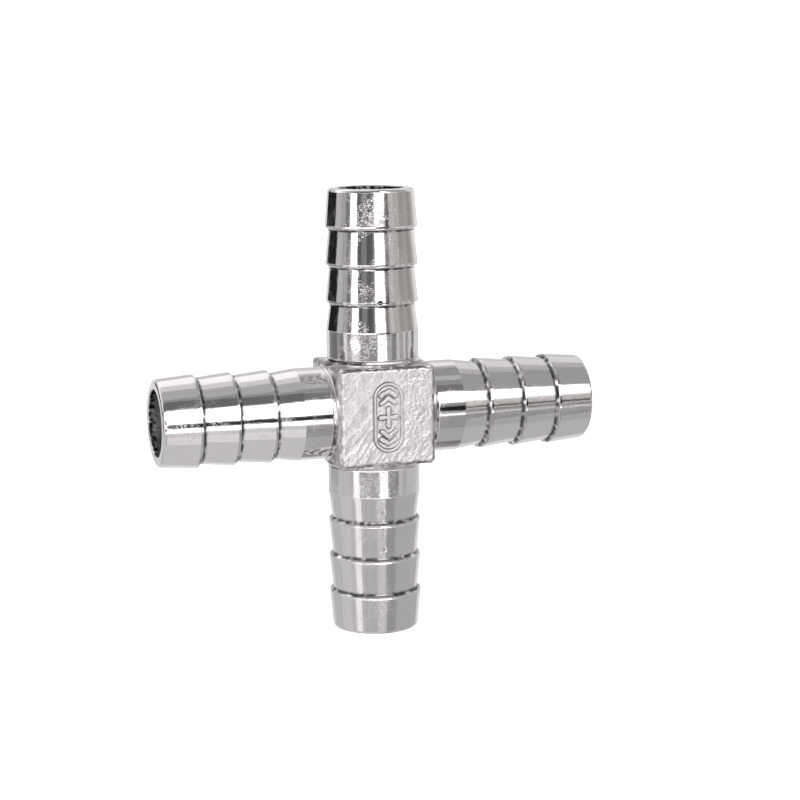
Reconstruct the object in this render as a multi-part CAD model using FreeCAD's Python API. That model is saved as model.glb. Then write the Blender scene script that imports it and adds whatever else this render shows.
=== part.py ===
import FreeCAD, Part
import math
import os

from FreeCAD import Placement, Rotation, Vector

# Four-way hose connector in stainless steel, for 12 mm hose: a bored cast cube with four identical
# barbed tails. Each tail is turned from bar, stands in a shallow socket of the cube on a short
# spigot and is welded round its foot. All sizes are in millimetres.
#
# Frame: origin where the two bores cross, in the middle of the cube. +X runs along the right tail,
# +Z along the top tail, and the face with the raised mark looks along -Y.

# Driving dimensions
peak_radius = 6.3           # over the barbs and the plain shank
bore_radius = 4.5
root_depth = 0.47           # how far each barb's cone narrows below the peak
nose_radius = 5.93          # outside, where the last cone meets the rounded end
nose_rounding = 0.45
mouth_chamfer = 0.15

cube_side = 13.8
cube_rounding = 0.5         # cast edges
pad_radius = 6.6            # turned pad round each tail, just proud of the cast face
pad_height = 0.1

socket_radius = 5.25
socket_depth = 1.3
weld_leg = 0.45             # along the tail, above the pad
weld_bevel = 0.4            # how far the tail's foot is bevelled inwards for the weld

# Distances along a tail, from the point where the bores cross
shank_end = 11.3
barb_edges = [15.1, 20.15, 25.2]
barb_step = 0.3             # length of the steep back face of a barb
barb_land = 0.3             # length of the cylindrical crest
tail_end = 30.45

# The raised mark on the front of the cube: an upright outline round a four-way flow sign
mark_height = 0.2
mark_width = 4.15
mark_length = 9.5
mark_line = 0.4
sign_line = 0.6
cross_arm = 1.2
chevron_half_width = 1.0
chevron_rise = 0.65
chevron_places = [1.95, 2.95]
mark_sink = 0.3             # how far the mark's solid runs into the cube below its skin

half_cube = cube_side / 2
pad_face = half_cube + pad_height
socket_floor = pad_face - socket_depth
root_radius = peak_radius - root_depth

# Every direction a tail points in, as the turn about Y that brings +Z there
tail_turns = {"top": 0.0, "right": 90.0, "bottom": 180.0, "left": 270.0}

X_AXIS = Vector(1, 0, 0)
Y_AXIS = Vector(0, 1, 0)
Z_AXIS = Vector(0, 0, 1)
CENTRE = Vector(0, 0, 0)


def revolved(edges):
    """A solid of revolution about Z from a closed outline of edges in the XZ plane."""
    outline = Part.Face(Part.Wire(Part.__sortEdges__(edges)))
    return outline.revolve(CENTRE, Z_AXIS, 360)


def line_run(points):
    """Straight edges through points given as (radius, distance along the tail)."""
    places = [Vector(radius, 0, along) for radius, along in points]
    return [Part.makeLine(a, b) for a, b in zip(places, places[1:])]


def arc_through(start, middle, end):
    places = [Vector(radius, 0, along) for radius, along in (start, middle, end)]
    return Part.Arc(*places).toShape()


def turned(shape, angle):
    """A copy of a shape made along +Z, turned about Y to point where its tail does."""
    copy = shape.copy()
    copy.Placement = Placement(CENTRE, Rotation(Y_AXIS, angle)).multiply(copy.Placement)
    return copy


def make_tail():
    """One barbed tail along +Z: spigot, bevelled foot, plain shank, three barbs and a rounded nose."""
    outside = [
        (bore_radius, socket_floor),
        (socket_radius, socket_floor),
        (socket_radius, pad_face),
        (peak_radius - weld_bevel, pad_face),
        (peak_radius, pad_face + weld_leg),
        (peak_radius, shank_end),
    ]
    for edge in barb_edges:
        outside.append((root_radius, edge - barb_step))
        outside.append((peak_radius, edge))
        outside.append((peak_radius, edge + barb_land))
    nose_start = tail_end - nose_rounding
    outside.append((nose_radius, nose_start))

    rim_radius = nose_radius - nose_rounding
    middle_of_arc = nose_rounding * math.sqrt(0.5)
    nose = arc_through(
        (nose_radius, nose_start),
        (rim_radius + middle_of_arc, nose_start + middle_of_arc),
        (rim_radius, tail_end),
    )
    inside = [
        (rim_radius, tail_end),
        (bore_radius + mouth_chamfer, tail_end),
        (bore_radius, tail_end - mouth_chamfer),
        (bore_radius, socket_floor),
    ]
    return revolved(line_run(outside) + [nose] + line_run(inside))


def make_weld():
    """The weld round a tail's foot: it fills the bevel and ends in a hollow fillet on the pad."""
    bevel_foot = (peak_radius - weld_bevel, pad_face)
    toe = (pad_radius, pad_face)
    top = (peak_radius, pad_face + weld_leg)
    hollow = 0.3            # share of each leg at the middle of the fillet's arc
    middle = (peak_radius + hollow * (pad_radius - peak_radius), pad_face + hollow * weld_leg)
    return revolved(line_run([top, bevel_foot, toe]) + [arc_through(toe, middle, top)])


def bar(x0, z0, x1, z1, width):
    """A straight raised bar on the front face, between two points of its centre line."""
    run = Vector(x1 - x0, 0, z1 - z0)
    side = Vector(-run.z, 0, run.x).normalize().multiply(width / 2)
    front = Vector(0, -half_cube - mark_height, 0)
    start = Vector(x0, 0, z0) + front
    corners = [start + side, start + run + side, start + run - side, start - side]
    outline = Part.Face(Part.makePolygon(corners + corners[:1]))
    return outline.extrude(Vector(0, mark_height + mark_sink, 0))


def stadium(width, length):
    """An upright slot-shaped prism on the front face."""
    radius = width / 2
    straight = (length - width) / 2
    front = -half_cube - mark_height
    depth = mark_height + mark_sink
    shape = Part.makeBox(width, depth, 2 * straight, Vector(-radius, front, -straight))
    for height in (-straight, straight):
        shape = shape.fuse(Part.makeCylinder(radius, depth, Vector(0, front, height), Y_AXIS))
    return shape


def make_mark():
    """The outline, a cross in the middle and pairs of chevrons above and below it."""
    inner = (mark_width - 2 * mark_line, mark_length - 2 * mark_line)
    mark = stadium(mark_width, mark_length).cut(stadium(*inner))
    pieces = [
        bar(-cross_arm, 0, cross_arm, 0, sign_line),
        bar(0, -cross_arm, 0, cross_arm, sign_line),
    ]
    for way in (1, -1):
        for place in chevron_places:
            tip = way * (place + chevron_rise)
            foot = way * place
            for side in (1, -1):
                pieces.append(bar(0, tip, side * chevron_half_width, foot, sign_line))
    return mark.multiFuse(pieces)


def make_block():
    """The cast cube with rounded edges, turned pads, crossed bores, four sockets and the mark."""
    corner = Vector(-half_cube, -half_cube, -half_cube)
    cube = Part.makeBox(cube_side, cube_side, cube_side, corner)
    cube = cube.makeFillet(cube_rounding, cube.Edges)
    pad = Part.makeCylinder(pad_radius, pad_face, CENTRE, Z_AXIS)
    cube = cube.multiFuse([turned(pad, angle) for angle in tail_turns.values()] + [make_mark()])

    reach = 2 * pad_face
    bores = [
        Part.makeCylinder(bore_radius, 2 * reach, X_AXIS * -reach, X_AXIS),
        Part.makeCylinder(bore_radius, 2 * reach, Z_AXIS * -reach, Z_AXIS),
    ]
    socket = Part.makeCylinder(socket_radius, reach, Vector(0, 0, socket_floor), Z_AXIS)
    sockets = [turned(socket, angle) for angle in tail_turns.values()]
    return cube.cut(bores + sockets).removeSplitter()


def main():
    os.makedirs("parts", exist_ok=True)
    nodes = {"cast_block": make_block()}
    tail = make_tail()
    weld = make_weld()
    for side, angle in tail_turns.items():
        nodes["tail_" + side] = turned(tail, angle)
        nodes["weld_" + side] = turned(weld, angle)
    for name, shape in nodes.items():
        solid = shape.Solids[0]
        print(name, len(shape.Solids), "solid", solid.isValid(), round(solid.Volume, 2), "mm3")
        solid.exportStep("parts/" + name + ".step")


main()
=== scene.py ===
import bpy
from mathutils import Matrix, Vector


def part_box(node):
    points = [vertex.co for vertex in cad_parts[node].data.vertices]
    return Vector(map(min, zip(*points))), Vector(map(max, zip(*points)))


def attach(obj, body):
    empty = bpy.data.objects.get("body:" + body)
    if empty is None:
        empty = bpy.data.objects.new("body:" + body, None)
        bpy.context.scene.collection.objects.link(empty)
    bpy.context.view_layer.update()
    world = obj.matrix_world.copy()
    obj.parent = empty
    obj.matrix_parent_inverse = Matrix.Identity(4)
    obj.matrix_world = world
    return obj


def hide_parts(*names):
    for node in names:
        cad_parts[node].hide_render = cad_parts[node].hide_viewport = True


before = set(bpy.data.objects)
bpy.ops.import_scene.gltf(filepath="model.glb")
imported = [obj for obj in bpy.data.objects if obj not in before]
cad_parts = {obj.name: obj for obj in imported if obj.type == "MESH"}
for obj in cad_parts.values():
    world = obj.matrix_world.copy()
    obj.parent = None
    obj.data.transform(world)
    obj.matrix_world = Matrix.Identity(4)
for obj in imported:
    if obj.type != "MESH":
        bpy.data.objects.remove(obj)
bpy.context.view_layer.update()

import math
import random

import bmesh
import bpy
import numpy as np
from mathutils import Matrix, Vector, noise

# Looks of the four-way hose connector. Lengths are in metres, in the CAD model's frame: +Z along the
# top tail, +X along the right tail, and the face with the raised mark towards -Y.

MM = 0.001

# ---------------------------------------------------------------- sizes, from the frame
TAIL_LOW, TAIL_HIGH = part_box("tail_top")
BLOCK_LOW, BLOCK_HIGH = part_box("cast_block")
_, WELD_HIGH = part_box("weld_top")

PEAK_RADIUS = TAIL_HIGH.x
TAIL_END = TAIL_HIGH.z
SOCKET_FLOOR = TAIL_LOW.z
PAD_FACE = BLOCK_HIGH.z
PAD_RADIUS = WELD_HIGH.x
WELD_TOP = WELD_HIGH.z

# Sizes inside those boxes, as the CAD model has them
BORE_RADIUS = 4.5 * MM
SOCKET_RADIUS = 5.25 * MM
ROOT_RADIUS = PEAK_RADIUS - 0.47 * MM
NOSE_RADIUS = 5.93 * MM
NOSE_ROUNDING = 0.45 * MM
MOUTH_CHAMFER = 0.15 * MM
SHANK_END = 11.3 * MM
BARB_EDGES = [15.1 * MM, 20.15 * MM, 25.2 * MM]
BARB_STEP = 0.3 * MM
BARB_LAND = 0.3 * MM
WELD_BEVEL = 0.4 * MM
PAD_HEIGHT = 0.1 * MM
HALF_CUBE = PAD_FACE - PAD_HEIGHT
MARK_HEIGHT = -BLOCK_LOW.y - HALF_CUBE

# The cast skin lies up to twice this depth inside the CAD cube, and its edges are rounder
SKIN_DEPTH = 0.12 * MM
CUBE_ROUNDING = 0.78 * MM

# Which way each tail points, as the turn about Y that brings +Z there
TAIL_TURNS = {"top": 0.0, "right": 90.0, "bottom": 180.0, "left": 270.0}

SEGMENTS = 224      # round a tail or a weld


# ---------------------------------------------------------------- mesh helpers
def new_object(name, vertices, faces):
    mesh = bpy.data.meshes.new(name)
    mesh.from_pydata(vertices, [], faces)
    mesh.validate()
    mesh.update()
    mesh.shade_smooth()
    piece = bpy.data.objects.new(name, mesh)
    bpy.context.scene.collection.objects.link(piece)
    return piece


def rounded_run(corners, step, arc_steps):
    """A closed outline through corners given as (radius, along, rounding), rounded at each corner by
    an arc of arc_steps pieces and with its straights cut into lengths of about step."""
    count = len(corners)
    stretches = []
    for i, (radius, along, rounding) in enumerate(corners):
        here = Vector((radius, along))
        before = Vector(corners[i - 1][:2]) - here
        after = Vector(corners[(i + 1) % count][:2]) - here
        half_angle = before.angle(after) / 2
        if rounding == 0 or half_angle > math.radians(89.9):
            stretches.append([here])
            continue
        reach = rounding / math.tan(half_angle)
        start = here + before.normalized() * reach
        end = here + after.normalized() * reach
        middle = (before.normalized() + after.normalized()).normalized()
        centre = here + middle * (rounding / math.sin(half_angle))
        arc = []
        for k in range(arc_steps + 1):
            arc.append(centre + rounding * (start - centre).slerp(end - centre, k / arc_steps))
        stretches.append(arc)
    points = []
    for i, stretch in enumerate(stretches):
        points.extend(stretch)
        start, end = stretch[-1], stretches[(i + 1) % count][0]
        pieces = max(1, round((end - start).length / step))
        points.extend(start.lerp(end, k / pieces) for k in range(1, pieces))
    return points


def lathe(name, outline, turn, dent):
    """A closed ring of the outline round +Z, turned about Y. dent gives a change of radius for an
    angle round the axis, a radius and a distance along it. Faces of the bore take material 1."""
    rings = len(outline)
    vertices = []
    for point in outline:
        for k in range(SEGMENTS):
            angle = 2 * math.pi * k / SEGMENTS
            radius = point.x + dent(angle, point.x, point.y)
            vertices.append((radius * math.cos(angle), radius * math.sin(angle), point.y))
    faces = []
    for i in range(rings):
        below, above = i * SEGMENTS, (i + 1) % rings * SEGMENTS
        for k in range(SEGMENTS):
            after = (k + 1) % SEGMENTS
            faces.append((below + k, below + after, above + after, above + k))
    piece = new_object(name, vertices, faces)
    just_outside_bore = BORE_RADIUS + 0.01 * MM
    for face in piece.data.polygons:
        corners = [piece.data.vertices[i].co for i in face.vertices]
        if all(math.hypot(corner.x, corner.y) < just_outside_bore for corner in corners):
            face.material_index = 1
    piece.data.transform(Matrix.Rotation(math.radians(turn), 4, "Y"))
    return piece


def paint(piece, shade):
    """Stores a shade from 0 to 1 at each vertex, which the materials read as painted shade."""
    colors = np.repeat(np.asarray(shade, dtype=float)[:, None], 4, axis=1)
    layer = piece.data.color_attributes.new("painted_shade", "FLOAT_COLOR", "POINT")
    layer.data.foreach_set("color", colors.ravel())


# ---------------------------------------------------------------- tails
def tail_outline():
    """Half the section of a tail, with the rounding at each corner."""
    corners = [
        (BORE_RADIUS, SOCKET_FLOOR, 0),
        (SOCKET_RADIUS, SOCKET_FLOOR, 0),
        (SOCKET_RADIUS, PAD_FACE, 0),
        (PEAK_RADIUS - WELD_BEVEL, PAD_FACE, 0),
        (PEAK_RADIUS, WELD_TOP, 0),
        (PEAK_RADIUS, SHANK_END, 1.5 * MM),
    ]
    for place in BARB_EDGES:
        corners.append((ROOT_RADIUS, place - BARB_STEP, 0.12 * MM))
        corners.append((PEAK_RADIUS, place, 0.05 * MM))
        corners.append((PEAK_RADIUS, place + BARB_LAND, 0.4 * MM))
    corners += [
        (NOSE_RADIUS, TAIL_END - NOSE_ROUNDING, 0.1 * MM),
        (NOSE_RADIUS - 0.1 * MM, TAIL_END - 0.2 * MM, 0.12 * MM),
        (NOSE_RADIUS - 0.25 * MM, TAIL_END - 0.08 * MM, 0.12 * MM),
        (NOSE_RADIUS - NOSE_ROUNDING, TAIL_END, 0.1 * MM),
        (BORE_RADIUS + MOUTH_CHAMFER, TAIL_END, 0.03 * MM),
        (BORE_RADIUS, TAIL_END - MOUTH_CHAMFER, 0.03 * MM),
    ]
    return rounded_run(corners, step=0.16 * MM, arc_steps=6)


# Where the marks on the tails are, as degrees round a tail and distances along it
LADDER_ANGLE = -133
LADDER_END = 10.2 * MM
SCUFF_ANGLE = math.radians(-84)
SCUFF_START = 11.8 * MM


def ladder(rng):
    """A little ladder of short slanting scratches on the top tail's shank. Each is given by the angle
    and the distance along the tail at its two ends."""
    strokes = []
    for k in range(4):
        angle = math.radians(LADDER_ANGLE + 1.6 * k + rng.uniform(-1.5, 1.5))
        along = LADDER_END - 0.42 * MM * k
        strokes.append((angle, along, angle + math.radians(rng.uniform(4, 7)), along + 0.4 * MM))
    return strokes


def scuff(rng):
    """A crooked scuff that runs along the front of the bottom tail."""
    strokes = []
    angle, along = SCUFF_ANGLE, SCUFF_START
    for _ in range(12):
        turned = SCUFF_ANGLE + math.radians(rng.uniform(-3, 3))
        further = along + rng.uniform(0.5, 0.9) * MM
        strokes.append((angle, along, turned, further))
        angle, along = turned, further
    return strokes


def tail_marks(side, seed):
    """A function that gives the change of a tail's radius from place to place: small dents in the
    crests, a very slight waviness left by the turning tool, and the scratches that only the top and
    bottom tails have."""
    rng = random.Random(seed)
    dents = []
    for _ in range(14):
        along = rng.choice(BARB_EDGES) + rng.uniform(0, 0.8) * MM
        angle = rng.uniform(0, 2 * math.pi)
        width = rng.uniform(0.06, 0.18) * MM
        depth = rng.uniform(0.01, 0.03) * MM
        dents.append((angle, along, width, depth))
    strokes = []
    scratch_width, scratch_depth = 0.13 * MM, 0.03 * MM
    if side == "top":
        strokes, scratch_depth = ladder(rng), 0.05 * MM
    elif side == "bottom":
        strokes = scuff(rng)
    longest_stroke = 1.3 * MM
    wave_height = 0.0012 * MM
    shift = rng.uniform(0, 50)

    def flattened(angle, along, other_angle, other_along):
        """The second place as seen from the first on the unrolled tail."""
        turn = math.remainder(other_angle - angle, 2 * math.pi)
        return Vector((turn * PEAK_RADIUS, other_along - along))

    def from_stroke(angle, along, stroke):
        start = flattened(angle, along, *stroke[:2])
        end = flattened(angle, along, *stroke[2:])
        run = end - start
        share = min(1.0, max(0.0, -start.dot(run) / run.dot(run)))
        return (start + share * run).length

    def change(angle, radius, along):
        if radius < SOCKET_RADIUS or along < WELD_TOP:
            return 0.0
        drop = 0.0
        for at, height, width, depth in dents:
            rise = along - height
            if abs(rise) > 3 * width:
                continue
            turn = math.remainder(angle - at, 2 * math.pi) * radius
            if abs(turn) < 3 * width:
                drop += depth * math.exp(-(rise * rise + turn * turn) / (width * width))
        for stroke in strokes:
            if abs(along - stroke[1]) < longest_stroke:
                away = from_stroke(angle, along, stroke) / scratch_width
                drop += scratch_depth * math.exp(-away * away)
        place = Vector((math.cos(angle) * 1.6, math.sin(angle) * 1.6, along / MM * 0.5 + shift))
        return -drop - wave_height * (1 + noise.noise(place))

    return change


def tail_painted_shade(outline, foot_width, scuffed):
    """Painted shade at the foot of each barb's step, left off where the tail is scuffed, and painted
    shade, ragged, just inside the mouth of the bore."""
    shade = []
    mouth_depth = 0.6 * MM
    unshaded_width = math.radians(9)
    for point in outline:
        # foot: painted shade at the foot of each barb's step, where the cone's root meets the step
        from_step = min(abs(point.y - place + BARB_STEP) for place in BARB_EDGES)
        foot = max(0.0, 1 - from_step / foot_width) if point.x > SOCKET_RADIUS else 0.0
        mouth = point.x < BORE_RADIUS + 0.1 * MM
        depth = TAIL_END - point.y
        for k in range(SEGMENTS):
            angle = 2 * math.pi * k / SEGMENTS
            rag = noise.noise(Vector((9 * math.cos(angle), 9 * math.sin(angle), point.y / (0.6 * MM))))
            # ring: painted shade, ragged, just inside the mouth of the bore
            ring = min(1.0, max(0.0, 1.3 + 2 * rag - depth / mouth_depth)) if mouth else 0.0
            strength = 1.1 + 1.8 * rag
            # the painted shade is left off along the scuff, so the steps' edges show bright there
            if scuffed:
                away = math.remainder(angle - SCUFF_ANGLE, 2 * math.pi) / unshaded_width
                strength *= 1 - math.exp(-away * away)
            shade.append(max(foot * strength, ring))
    return np.clip(shade, 0, 1)


def make_tails():
    outline = tail_outline()
    outside = {axis: turned_steel(axis) for axis in ("Z", "X")}
    inside = bored_steel()
    for seed, (side, turn) in enumerate(TAIL_TURNS.items()):
        tail = lathe("turned_tail_" + side, outline, turn, tail_marks(side, seed))
        # how far the painted shade at the foot of each step reaches
        foot_width = (0.2 if side == "top" else 0.34) * MM
        paint(tail, tail_painted_shade(outline, foot_width, scuffed=side == "bottom"))
        tail.data.materials.append(outside["Z" if side in ("top", "bottom") else "X"])
        tail.data.materials.append(inside)
        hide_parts("tail_" + side)
        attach(tail, "root")


# ---------------------------------------------------------------- welds
def weld_outline():
    """Half the section of a weld: it fills the tail's bevel and ends in a hollow curve on the pad."""
    top = Vector((PEAK_RADIUS, WELD_TOP))
    bevel_foot = Vector((PEAK_RADIUS - WELD_BEVEL, PAD_FACE))
    toe = Vector((PAD_RADIUS, PAD_FACE))
    corner = Vector((PEAK_RADIUS, PAD_FACE))
    points = [top, bevel_foot, toe]
    steps = 8
    for k in range(1, steps):
        share = k / steps
        points.append(toe.lerp(corner, share).lerp(corner.lerp(top, share), share))
    return points


def make_welds():
    steel = weld_steel()
    for seed, (side, turn) in enumerate(TAIL_TURNS.items()):
        shift = 20.0 + 7.0 * seed

        def ripple(angle, radius, along):
            if along <= PAD_FACE or along >= WELD_TOP:
                return 0.0
            place = Vector((math.cos(angle) * 4, math.sin(angle) * 4, shift))
            return 0.02 * MM * noise.noise(place)

        weld = lathe("weld_ring_" + side, weld_outline(), turn, ripple)
        weld.data.materials.append(steel)
        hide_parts("weld_" + side)
        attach(weld, "root")


# ---------------------------------------------------------------- cast block
def segment_distance(x, z, x0, z0, x1, z1):
    """How far a point of the front face is from a straight line piece."""
    dx, dz = x1 - x0, z1 - z0
    share = np.clip(((x - x0) * dx + (z - z0) * dz) / (dx * dx + dz * dz), 0, 1)
    return np.hypot(x - x0 - share * dx, z - z0 - share * dz)


def from_mark(x, z):
    """How far a point of the front face is outside the lines of the raised mark, below 0 within them:
    an upright outline, a cross in its middle and two chevrons above and below it."""
    mark_width, mark_length, mark_line, sign_line = 4.15 * MM, 9.5 * MM, 0.4 * MM, 0.6 * MM
    straight = (mark_length - mark_width) / 2
    from_spine = segment_distance(x, z, 0, -straight, 0, straight)
    lines = [np.abs(from_spine - (mark_width - mark_line) / 2) - mark_line / 2]
    # the sign's lines wander a little, as cast ones do
    uneven = 0.05 * MM
    x = x + uneven * np.sin(z / (0.33 * MM) + 2 * np.sin(x / (0.6 * MM)))
    z = z + uneven * np.sin(x / (0.29 * MM) + 2 * np.sin(z / (0.5 * MM)))
    cross_arm, chevron_half_width, chevron_rise = 1.2 * MM, 1.0 * MM, 0.65 * MM
    strokes = [(-cross_arm, 0, cross_arm, 0), (0, -cross_arm, 0, cross_arm)]
    for way in (1, -1):
        for foot in (1.95 * MM, 2.95 * MM):
            tip = foot + chevron_rise
            for side in (1, -1):
                strokes.append((0, way * tip, side * chevron_half_width, way * foot))
    for x0, z0, x1, z1 in strokes:
        lines.append(segment_distance(x, z, x0, z0, x1, z1) - sign_line / 2)
    return np.min(lines, axis=0)


def mark_relief(x, z):
    """How far the raised mark stands out of the front face, from 0 to 1."""
    flank = 0.08 * MM
    share = np.clip(0.5 - from_mark(x, z) / (2 * flank), 0, 1)
    return share * share * (3 - 2 * share)


def rounded_cube(half, rounding, flat_steps, round_steps):
    """A closed grid over a cube with rounded edges: vertices, outward directions and faces."""
    flat = half - rounding
    curved = np.linspace(0, 1, round_steps + 1)
    ends = flat + rounding * np.tan(curved * math.pi / 4)
    run = np.concatenate([-ends[::-1][:-1], np.linspace(-flat, flat, flat_steps + 1), ends[1:]])
    count = len(run)
    u, v = np.meshgrid(run, run, indexing="ij")
    top = np.full_like(u, half)
    vertices, faces = [], []
    for order in ((0, 1, 2), (1, 2, 0), (2, 0, 1)):
        for way in (1, -1):
            place = np.empty(u.shape + (3,))
            place[..., order[0]] = u
            place[..., order[1]] = v * way
            place[..., order[2]] = top * way
            start = len(vertices) * count * count
            index = start + np.arange(count * count).reshape(count, count)
            corners = [index[:-1, :-1], index[1:, :-1], index[1:, 1:], index[:-1, 1:]]
            faces.append(np.stack(corners, -1).reshape(-1, 4))
            vertices.append(place.reshape(-1, 3))
    places = np.concatenate(vertices)
    inner = np.clip(places, -flat, flat)
    out = places - inner
    out /= np.linalg.norm(out, axis=1)[:, None]
    return inner + out * rounding, out, np.concatenate(faces)


def cast_skin_height(place):
    """Height of the uneven cast skin, in millimetres: shallow swells, grain that is stronger to the
    right, and slanting folds that are stronger to the left and low down."""
    swell = noise.fractal(place / (2.2 * MM), 0.9, 2.1, 2)
    right = min(1.0, max(0.0, 0.5 + place.x / (5 * MM)))
    low = min(1.0, max(0.0, 0.5 - place.z / (6 * MM)))
    grain = noise.fractal(place / (0.42 * MM), 0.8, 2.2, 2)
    slant = Vector((place.x * 0.75 - place.z * 0.66, place.y, (place.x * 0.66 + place.z * 0.75) * 0.2))
    wrinkle = 1 - 3 * abs(noise.noise(slant / (0.8 * MM) + Vector((3.7, 0, 0))))
    fold = (0.008 + 0.03 * low) * (1 - 0.5 * right)
    return 0.065 * swell + (0.02 + 0.02 * right) * grain + fold * max(0.0, wrinkle)


def edge_wear(places):
    """How much deeper wear has taken the edges of the cube, in metres."""
    wear = [noise.fractal(Vector(place) / (1.3 * MM), 0.8, 2.1, 2) for place in places]
    return np.clip(0.04 + 0.22 * np.array(wear), 0, 0.2) * MM


def make_block():
    places, out, faces = rounded_cube(HALF_CUBE, CUBE_ROUNDING, flat_steps=160, round_steps=8)
    raised = np.array([cast_skin_height(Vector(place)) for place in places]) * MM
    raised = np.clip(raised, -SKIN_DEPTH, SKIN_DEPTH) - SKIN_DEPTH
    on_edge = np.clip(4 * (1 - np.abs(out).max(axis=1)), 0, 1)
    raised[on_edge > 0] -= edge_wear(places[on_edge > 0]) * on_edge[on_edge > 0]
    facing_front = out[:, 1] < -0.99
    relief = mark_relief(places[:, 0], places[:, 2]) * facing_front
    smoother_mark = 1 - 0.6 * relief
    moved = places + out * (raised * smoother_mark)[:, None]
    moved[:, 1] -= relief * MARK_HEIGHT
    piece = new_object("cast_cube", moved.tolist(), faces.tolist())
    weld_seams(piece)
    cut_and_join(piece)
    shade_edges(piece)
    piece.data.materials.append(cast_steel())
    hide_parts("cast_block")
    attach(piece, "root")


def shade_edges(piece):
    """Paints shade into the cast skin's colour: painted shade on the cube's rounded edges, raggedly,
    less on the front face's left edge, which catches light; painted shade in the hollows and, mottled,
    over the four side faces; and a painted shadow at the foot of the mark's lines, more to the left."""
    mesh = piece.data
    places = np.empty(len(mesh.vertices) * 3)
    mesh.vertices.foreach_get("co", places)
    places = places.reshape(-1, 3)
    from_centre = np.sort(np.abs(places), axis=1)
    flat = HALF_CUBE - CUBE_ROUNDING
    front = places[:, 1] < -flat

    # the rounded edges are known by their second largest distance from the cube's middle planes
    near_edge = from_centre[:, 1] > flat - 0.3 * MM
    ragged = np.zeros(len(places))
    ragged[near_edge] = [
        noise.fractal(Vector(place) / (0.7 * MM), 0.9, 2.1, 2) for place in places[near_edge]
    ]
    edge_start = flat + (0.14 - 0.32 * ragged) * MM
    edge_fade = 0.25 * MM
    edge = np.clip((from_centre[:, 1] - edge_start) / edge_fade, 0, 1)
    # less painted shade on the front face's left edge, which catches light
    front_left_edge = (places[:, 0] < -flat) & front
    edge *= np.where(front_left_edge, 0.7, 1.0)

    # a painted shadow along the foot of the mark's raised lines, stronger to the left
    foot_place, foot_width = 0.03 * MM, 0.15 * MM
    foot = 1 - np.abs(from_mark(places[:, 0], places[:, 2]) - foot_place) / foot_width
    more_to_left = np.clip(0.85 - places[:, 0] / (4 * MM), 0.35, 1)
    foot = np.clip(1.2 * foot, 0, 1) * more_to_left * front

    # painted shade in the hollows of the cast skin
    hollow = np.clip(((HALF_CUBE - SKIN_DEPTH) - from_centre[:, 2]) / SKIN_DEPTH, 0, 1)
    # painted shade, mottled, over the four side faces, which so come out darker than the front
    flank = np.abs(places[:, 1]) < flat
    mottled = np.zeros(len(places))
    mottled[flank] = [noise.noise(Vector(place) / (1.5 * MM)) for place in places[flank]]
    mottled = np.clip(0.45 + 0.7 * mottled, 0, 0.8) * flank
    shade = np.max([0.9 * edge, foot, 0.2 * hollow, mottled], axis=0)
    paint(piece, shade)


def weld_seams(piece):
    """Joins the vertices that two sides of the cube share."""
    bm = bmesh.new()
    bm.from_mesh(piece.data)
    bmesh.ops.remove_doubles(bm, verts=bm.verts, dist=0.002 * MM)
    bmesh.ops.recalc_face_normals(bm, faces=bm.faces)
    bm.to_mesh(piece.data)
    bm.free()


def rod(name, radius, low, high, turn):
    """A plain closed cylinder along +Z from low to high, turned about Y: a cutter or a pad."""
    segments = 192
    vertices = []
    for height in (low, high):
        for k in range(segments):
            angle = 2 * math.pi * k / segments
            vertices.append((radius * math.cos(angle), radius * math.sin(angle), height))
    faces = [tuple(reversed(range(segments))), tuple(range(segments, 2 * segments))]
    for k in range(segments):
        after = (k + 1) % segments
        faces.append((k, after, segments + after, segments + k))
    piece = new_object(name, vertices, faces)
    piece.data.transform(Matrix.Rotation(math.radians(turn), 4, "Y"))
    return piece


def cut_and_join(piece):
    """Adds the four turned pads to the cube and cuts the crossed bores and the sockets."""
    pad_root = HALF_CUBE - 0.6 * MM     # deep enough to be under the skin everywhere
    tools = []
    for turn in TAIL_TURNS.values():
        tools.append((rod("pad", PAD_RADIUS, pad_root, PAD_FACE, turn), "UNION"))
    for turn in (0.0, 90.0):
        tools.append((rod("bore", BORE_RADIUS, -2 * PAD_FACE, 2 * PAD_FACE, turn), "DIFFERENCE"))
    for turn in TAIL_TURNS.values():
        tools.append((rod("socket", SOCKET_RADIUS, SOCKET_FLOOR, 2 * PAD_FACE, turn), "DIFFERENCE"))
    for tool, operation in tools:
        step = piece.modifiers.new("cut", "BOOLEAN")
        step.operation = operation
        step.object = tool
        step.solver = "MANIFOLD"
    graph = bpy.context.evaluated_depsgraph_get()
    made = bpy.data.meshes.new_from_object(piece.evaluated_get(graph))
    piece.modifiers.clear()
    made.materials.clear()
    piece.data = made
    for tool, _ in tools:
        bpy.data.objects.remove(tool)
    made.shade_smooth()
    made.set_sharp_from_angle(angle=math.radians(40))


# ---------------------------------------------------------------- materials
TURNED_COLOR = (0.87, 0.85, 0.86, 1)
DULL_COLOR = (0.8, 0.78, 0.78, 1)
CAST_COLOR = (1.0, 0.975, 0.985, 1)


def node_maker(tree):
    """A function that adds a node to the tree and sets its inputs or its properties by name."""
    def add(kind, **values):
        node = tree.nodes.new(kind)
        for key, value in values.items():
            if key in node.inputs:
                node.inputs[key].default_value = value
            else:
                setattr(node, key, value)
        return node
    return add


def metal(name, color, roughness, anisotropy=0.0):
    """A plain metal, which the nodes added to it vary: the material, its node tree, its shader and a
    function that adds nodes."""
    material = bpy.data.materials.new(name)
    material.use_nodes = True
    tree = material.node_tree
    shader = tree.nodes["Principled BSDF"]
    shader.inputs["Metallic"].default_value = 1.0
    shader.inputs["Base Color"].default_value = color
    shader.inputs["Roughness"].default_value = roughness
    shader.inputs["Anisotropic"].default_value = anisotropy
    return material, tree, shader, node_maker(tree)


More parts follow.
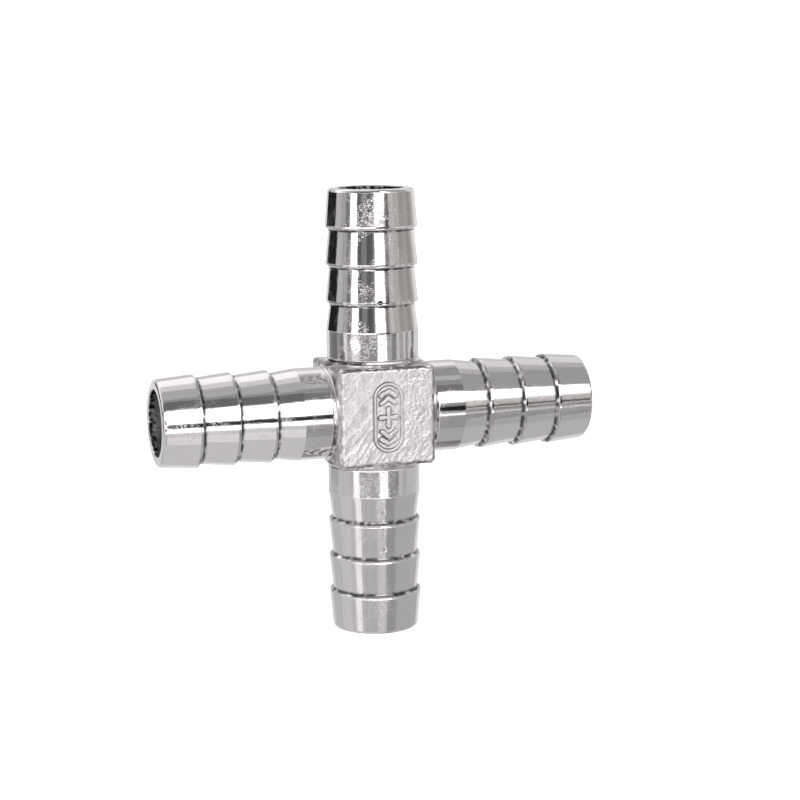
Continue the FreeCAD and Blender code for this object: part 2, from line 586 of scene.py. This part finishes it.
def add_painted_shade(tree, add, shader, unshaded, painted_shade):
    """Mixes the unpainted colour with the colour of the painted shade where the mesh is painted."""
    painted = add("ShaderNodeVertexColor", layer_name="painted_shade")
    tint = add("ShaderNodeMix", data_type="RGBA")
    if isinstance(unshaded, bpy.types.NodeSocket):
        tree.links.new(unshaded, tint.inputs[6])
    else:
        tint.inputs[6].default_value = unshaded
    tint.inputs[7].default_value = painted_shade
    tree.links.new(painted.outputs["Color"], tint.inputs[0])
    tree.links.new(tint.outputs[2], shader.inputs["Base Color"])


def turned_steel(along):
    """The outside of a tail that lies along X or Z: bright, with reflections stretched along it."""
    material, tree, shader, add = metal("turned steel " + along, TURNED_COLOR, 0.08, 0.6)
    link = tree.links.new
    place = add("ShaderNodeTexCoord")
    normal = None

    def dent(height, strength, depth):
        nonlocal normal
        bump = add("ShaderNodeBump", Strength=strength, Distance=depth)
        link(height, bump.inputs["Height"])
        if normal:
            link(normal, bump.inputs["Normal"])
        normal = bump.outputs[0]

    # painted shade at the foot of the barbs' steps and, ragged, at the bore's mouth
    add_painted_shade(tree, add, shader, TURNED_COLOR, (0.1, 0.1, 0.1, 1))
    # fine lines round the tail
    scale = add("ShaderNodeMapping")
    scale.inputs["Scale"].default_value = (40, 40, 9000) if along == "Z" else (9000, 40, 40)
    link(place.outputs["Object"], scale.inputs["Vector"])
    lines = add("ShaderNodeTexNoise", Scale=1.0, Detail=2.0)
    link(scale.outputs[0], lines.inputs["Vector"])
    dent(lines.outputs["Fac"], 0.03, 0.02 * MM)
    # slight waves, which make the reflections' edges uneven
    waves = add("ShaderNodeTexNoise", Scale=1300.0, Detail=2.5)
    link(place.outputs["Object"], waves.inputs["Vector"])
    dent(waves.outputs["Fac"], 0.5, 0.014 * MM)
    # small pits in patches
    pits = add("ShaderNodeTexNoise", Scale=6500.0, Detail=0.0)
    link(place.outputs["Object"], pits.inputs["Vector"])
    patches = add("ShaderNodeTexNoise", Scale=420.0, Detail=1.0)
    link(place.outputs["Object"], patches.inputs["Vector"])
    few = add("ShaderNodeMapRange")
    few.inputs["From Min"].default_value = 0.6
    few.inputs["From Max"].default_value = 0.75
    link(pits.outputs["Fac"], few.inputs["Value"])
    here = add("ShaderNodeMapRange")
    here.inputs["From Min"].default_value = 0.45
    here.inputs["From Max"].default_value = 0.6
    link(patches.outputs["Fac"], here.inputs["Value"])
    both = add("ShaderNodeMath", operation="MULTIPLY")
    link(few.outputs[0], both.inputs[0])
    link(here.outputs[0], both.inputs[1])
    dent(both.outputs[0], 0.6, -0.01 * MM)
    link(normal, shader.inputs["Normal"])
    tangent = add("ShaderNodeTangent", direction_type="RADIAL", axis=along)
    link(tangent.outputs[0], shader.inputs["Tangent"])
    return material


def bored_steel():
    """The inside of the bores: duller, darker and rough."""
    material, tree, shader, add = metal("bored steel", DULL_COLOR, 0.4)
    link = tree.links.new
    place = add("ShaderNodeTexCoord")
    grain = add("ShaderNodeTexNoise", Scale=1400.0, Detail=3.0)
    link(place.outputs["Object"], grain.inputs["Vector"])
    tone = add("ShaderNodeMix", data_type="RGBA")
    tone.inputs[6].default_value = DULL_COLOR
    tone.inputs[7].default_value = (0.3, 0.29, 0.29, 1)
    link(grain.outputs["Fac"], tone.inputs[0])
    # painted shade, ragged, just inside the mouth of the bore
    add_painted_shade(tree, add, shader, tone.outputs[2], (0.02, 0.02, 0.02, 1))
    bump = add("ShaderNodeBump", Strength=0.5, Distance=0.06 * MM)
    link(grain.outputs["Fac"], bump.inputs["Height"])
    link(bump.outputs[0], shader.inputs["Normal"])
    return material


def weld_steel():
    """The welds: bright, with near-black patches of painted shade in the corner between tail and pad.
    """
    material, tree, shader, add = metal("weld steel", DULL_COLOR, 0.2)
    link = tree.links.new
    place = add("ShaderNodeTexCoord")
    shade_patches = add("ShaderNodeTexNoise", Scale=330.0, Detail=3.0)
    link(place.outputs["Object"], shade_patches.inputs["Vector"])
    dark = add("ShaderNodeMapRange")
    dark.inputs["From Min"].default_value = 0.54
    dark.inputs["From Max"].default_value = 0.62
    link(shade_patches.outputs["Fac"], dark.inputs["Value"])
    # near-black patches of painted shade
    tone = add("ShaderNodeMix", data_type="RGBA")
    tone.inputs[6].default_value = DULL_COLOR
    tone.inputs[7].default_value = (0.12, 0.11, 0.11, 1)
    link(dark.outputs[0], tone.inputs[0])
    link(tone.outputs[2], shader.inputs["Base Color"])
    grain = add("ShaderNodeTexNoise", Scale=3000.0, Detail=2.0)
    link(place.outputs["Object"], grain.inputs["Vector"])
    bump = add("ShaderNodeBump", Strength=0.5, Distance=0.04 * MM)
    link(grain.outputs["Fac"], bump.inputs["Height"])
    link(bump.outputs[0], shader.inputs["Normal"])
    return material


def cast_steel():
    """The cast skin: blasted to an even fine grain, and darker where shade is painted into it."""
    material, tree, shader, add = metal("cast steel", CAST_COLOR, 0.33)
    link = tree.links.new
    # the colour of the painted shade on the edges, hollows, side faces and around the mark
    add_painted_shade(tree, add, shader, CAST_COLOR, (0.24, 0.23, 0.23, 1))
    place = add("ShaderNodeTexCoord")
    grain = add("ShaderNodeTexNoise", Scale=4500.0, Detail=3.0)
    link(place.outputs["Object"], grain.inputs["Vector"])
    bump = add("ShaderNodeBump", Strength=0.7, Distance=0.06 * MM)
    link(grain.outputs["Fac"], bump.inputs["Height"])
    link(bump.outputs[0], shader.inputs["Normal"])
    return material


# ---------------------------------------------------------------- studio
# The studio's light by direction, in degrees. Each ring is a list of panels, given as (angle where
# the panel starts, brightness), and a panel ends where the next one starts.

# Rings round the upright axis, which the upright tails reflect. Panels go by azimuth: 0 is straight
# in front of the marked face and 90 is to its right. Each ring is (low edge, high edge, panels), and
# an edge is (elevation in line with the camera, change per degree of azimuth away from there).
UPRIGHT_RINGS = [
    ((4.5, -0.064), (13.0, 0.0), [
        (-180, 0.8), (-163, 0.015), (-118, 0.52), (-101, 0.4), (-84, 0.19), (-71, 2.0), (-54, 0.08),
        (-44, 0.22), (-30, 0.09), (-15, 0.2), (-9, 2.0), (16, 0.25), (27, 0.56), (40, 0.46),
        (57, 0.34), (72, 0.38), (87, 0.32), (103, 0.5), (116, 0.8),
    ]),
    ((-10.0, 0.0), (-5.5, 0.0), [
        (-180, 0.8), (-154, 0.25), (-138, 0.17), (-118, 0.31), (-105, 0.2), (-95, 0.8), (-83, 0.33),
        (-72, 0.72), (-52, 0.27), (-5, 2.0), (17, 0.44), (31, 0.22), (44, 0.62), (53, 0.38),
        (66, 0.6), (74, 0.25), (81, 0.6), (98, 0.14), (108, 0.7),
    ]),
    ((-13.5, 0.01), (-10.0, 0.0), [
        (-180, 0.7), (-158, 0.4), (-120, 0.54), (-80, 0.45), (-71, 1.2), (-56, 0.36), (-3, 1.2),
        (17, 0.22), (29, 0.3), (34, 0.25), (47, 0.56), (60, 0.44), (72, 0.55), (120, 0.7),
    ]),
    ((-48.0, 0.0), (-19.0, 0.042), [
        (-180, 0.7), (-158, 0.52), (-118, 0.6), (-84, 0.52), (-71, 0.95), (-54, 0.48), (-10, 0.6),
        (12, 0.33), (39, 0.44), (80, 0.45), (120, 0.75),
    ]),
]

# Rings round the level axis, side by side from left to right, which the side tails reflect. Panels go
# by the angle from the front over the top: 90 is straight above and -90 straight below.
LEVEL_RINGS = [
    [
        (-180, 0.6), (-50, 0.78), (-30, 1.2), (-17, 2.0), (38, 0.15), (62, 0.32), (70, 0.45), (96, 0.7),
        (114, 1.1), (146, 0.6),
    ],
    [
        (-180, 0.7), (-130, 0.3), (-112, 0.2), (-98, 0.42), (-42, 0.31), (-23, 1.7), (9, 2.0),
        (42, 0.19), (60, 0.3), (74, 0.5), (88, 0.3), (116, 0.5), (126, 0.95), (146, 0.65),
    ],
    [
        (-180, 0.65), (-130, 0.5), (-60, 0.49), (-20, 0.75), (-5, 0.1), (4, 0.32), (9, 1.1), (19, 1.8),
        (42, 0.36), (98, 0.5), (116, 0.75), (150, 0.6),
    ],
]
# The edges between them, as (angle to the right in line with the camera, change per degree of the
# panels' angle away from there)
LEVEL_EDGES = [(8, 0.03), (26, -0.045)]

# Parts of the studio, as (left and right azimuth, low and high elevation)
FRONT_GAP = (-6, 27, -7.0, 4.5)     # a dark gap between the front panels
FRONT_LOW = (-12, 21, -48, -29)     # where the level rings show through the lowest upright ring
WARM_SIDE = (22, 125, -7, 13)       # lit a little warmer than the rest

GAP_BRIGHTNESS = 0.005
BRIGHTEST = 2.0                     # of all the panels
RING_SOFTNESS = 0.8
CAMERA_AZIMUTH = -17.43
CAMERA_ELEVATION = 9.85


def make_world():
    """Soft light all round: the brightness of the rings by direction, and a slight tint."""
    world = bpy.data.worlds.new("studio")
    bpy.context.scene.world = world
    world.use_nodes = True
    tree = world.node_tree
    add = node_maker(tree)
    link = tree.links.new

    def feed(socket, value):
        if isinstance(value, bpy.types.NodeSocket):
            link(value, socket)
        else:
            socket.default_value = value

    def calculate(operation, *values):
        node = add("ShaderNodeMath", operation=operation)
        for socket, value in zip(node.inputs, values):
            feed(socket, value)
        return node.outputs[0]

    def mix(share, first, second):
        node = add("ShaderNodeMix", data_type="FLOAT")
        for socket, value in zip(node.inputs[:1] + node.inputs[2:4], (share, first, second)):
            feed(socket, value)
        return node.outputs[0]

    def rise(angle, edge, bend=0.0, away=None):
        """0 below an edge in degrees and 1 above it, with a soft step. bend moves the edge for each
        degree of the angle away."""
        if bend:
            angle = calculate("SUBTRACT", angle, calculate("MULTIPLY", away, bend))
        step = add("ShaderNodeMapRange", interpolation_type="SMOOTHSTEP")
        step.inputs["From Min"].default_value = math.radians(edge - RING_SOFTNESS)
        step.inputs["From Max"].default_value = math.radians(edge + RING_SOFTNESS)
        link(angle, step.inputs["Value"])
        return step.outputs[0]

    def between(angle, low, high):
        return calculate("SUBTRACT", rise(angle, low), rise(angle, high))

    def ring(angle, panels):
        """The brightness of a ring of panels at an angle in radians, with faint uneven streaks."""
        ramp = add("ShaderNodeValToRGB")
        ramp.color_ramp.interpolation = "CONSTANT"
        elements = ramp.color_ramp.elements
        while len(elements) < len(panels):
            elements.new(1.0)
        for element, (start, brightness) in zip(elements, panels):
            element.position = start / 360 + 0.5
            level = brightness / BRIGHTEST
            element.color = (level, level, level, 1)
        link(calculate("MULTIPLY_ADD", angle, 0.5 / math.pi, 0.5), ramp.inputs[0])
        streaks = add("ShaderNodeTexNoise", noise_dimensions="1D", Scale=22.0, Detail=2.0)
        link(angle, streaks.inputs["W"])
        uneven = calculate("MULTIPLY_ADD", streaks.outputs["Fac"], BRIGHTEST * 0.6, BRIGHTEST * 0.7)
        return calculate("MULTIPLY", ramp.outputs[0], uneven)

    direction = add("ShaderNodeTexCoord")
    parts = add("ShaderNodeSeparateXYZ")
    link(direction.outputs["Generated"], parts.inputs[0])
    side, depth, height = parts.outputs
    front = calculate("MULTIPLY", depth, -1.0)
    azimuth = calculate("ARCTAN2", side, front)
    elevation = calculate("ARCSINE", height)
    over = calculate("ARCTAN2", height, front)
    sideways = calculate("ARCSINE", side)

    def within(part):
        """1 inside a part of the studio and 0 outside it."""
        left, right, low, high = part
        return calculate("MULTIPLY", between(azimuth, left, right), between(elevation, low, high))

    turned = calculate("ABSOLUTE", calculate("SUBTRACT", azimuth, math.radians(CAMERA_AZIMUTH)))
    lifted = calculate("ABSOLUTE", calculate("SUBTRACT", over, math.radians(CAMERA_ELEVATION)))

    level = ring(over, LEVEL_RINGS[0])
    for edge, panels in zip(LEVEL_EDGES, LEVEL_RINGS[1:]):
        level = mix(rise(sideways, *edge, lifted), level, ring(over, panels))
    level_rings = level
    for low, high, panels in UPRIGHT_RINGS:
        inside = calculate("SUBTRACT", rise(elevation, *low, turned), rise(elevation, *high, turned))
        level = mix(inside, level, ring(azimuth, panels))
    level = mix(within(FRONT_LOW), level, level_rings)
    level = mix(within(FRONT_GAP), level, GAP_BRIGHTNESS)
    warmth = within(WARM_SIDE)
    color = add("ShaderNodeCombineColor")
    for socket, cool, warm in zip(color.inputs, (1.0, 0.985, 1.0), (1.0, 0.985, 0.94)):
        link(calculate("MULTIPLY", level, mix(warmth, cool, warm)), socket)
    link(color.outputs[0], tree.nodes["Background"].inputs["Color"])


def make_floor():
    """A plain pale floor that turns up into a round wall and a ceiling a long way off. Only the camera
    sees it, so it doesn't hide the studio from the steel."""
    radius, height, turn = 1.6, 2.0, 0.5
    turn_steps = 12
    outline = [Vector((0.0, 0.0)), Vector((0.2, 0.0)), Vector((radius - turn, 0.0))]
    for k in range(1, turn_steps + 1):
        angle = math.pi / 2 * k / turn_steps
        outline.append(Vector((radius - turn + turn * math.sin(angle), turn - turn * math.cos(angle))))
    outline.append(Vector((radius, height)))
    outline.append(Vector((0.0, height)))
    segments = 96
    vertices, faces = [], []
    for point in outline:
        for k in range(segments):
            angle = 2 * math.pi * k / segments
            vertices.append((point.x * math.cos(angle), point.x * math.sin(angle), point.y - TAIL_END))
    for i in range(len(outline) - 1):
        below, above = i * segments, (i + 1) * segments
        for k in range(segments):
            after = (k + 1) % segments
            faces.append((below + k, below + after, above + after, above + k))
    floor = new_object("floor", vertices, faces)
    material = bpy.data.materials.new("pale floor")
    material.use_nodes = True
    tree = material.node_tree
    shader = tree.nodes["Principled BSDF"]
    shader.inputs["Base Color"].default_value = (0.9, 0.9, 0.9, 1)
    shader.inputs["Roughness"].default_value = 0.9
    shader.inputs["Emission Color"].default_value = (1, 1, 1, 1)
    shader.inputs["Emission Strength"].default_value = 0.75
    floor.data.materials.append(material)
    floor.visible_diffuse = False
    floor.visible_glossy = False
    floor.visible_transmission = False
    floor.visible_shadow = False


# ---------------------------------------------------------------- camera
def make_camera():
    """A long lens, aimed a little to the right of the cube's middle and above it."""
    azimuth, elevation = math.radians(CAMERA_AZIMUTH), math.radians(CAMERA_ELEVATION)
    roll = math.radians(-0.57)
    distance = 42.9 * PEAK_RADIUS
    back = Vector((
        math.sin(azimuth) * math.cos(elevation),
        -math.cos(azimuth) * math.cos(elevation),
        math.sin(elevation),
    ))
    right = Vector((0, 0, 1)).cross(back).normalized()
    up = back.cross(right)
    aim = right * (0.589 * PEAK_RADIUS) + up * (0.194 * PEAK_RADIUS)
    place = back * distance
    turned = (place - aim).to_track_quat("Z", "Y").to_matrix() @ Matrix.Rotation(roll, 3, "Z")
    camera = bpy.data.objects.new("camera", bpy.data.cameras.new("camera"))
    bpy.context.scene.collection.objects.link(camera)
    camera.matrix_world = Matrix.Translation(place) @ turned.to_4x4()
    camera.data.lens = 88.3
    camera.data.sensor_width = 36.0
    camera.data.clip_start = 0.01
    camera.data.clip_end = 20.0
    bpy.context.scene.camera = camera


make_block()
make_welds()
make_tails()
make_world()
make_floor()
make_camera()
bpy.context.scene.view_settings.view_transform = "Standard"
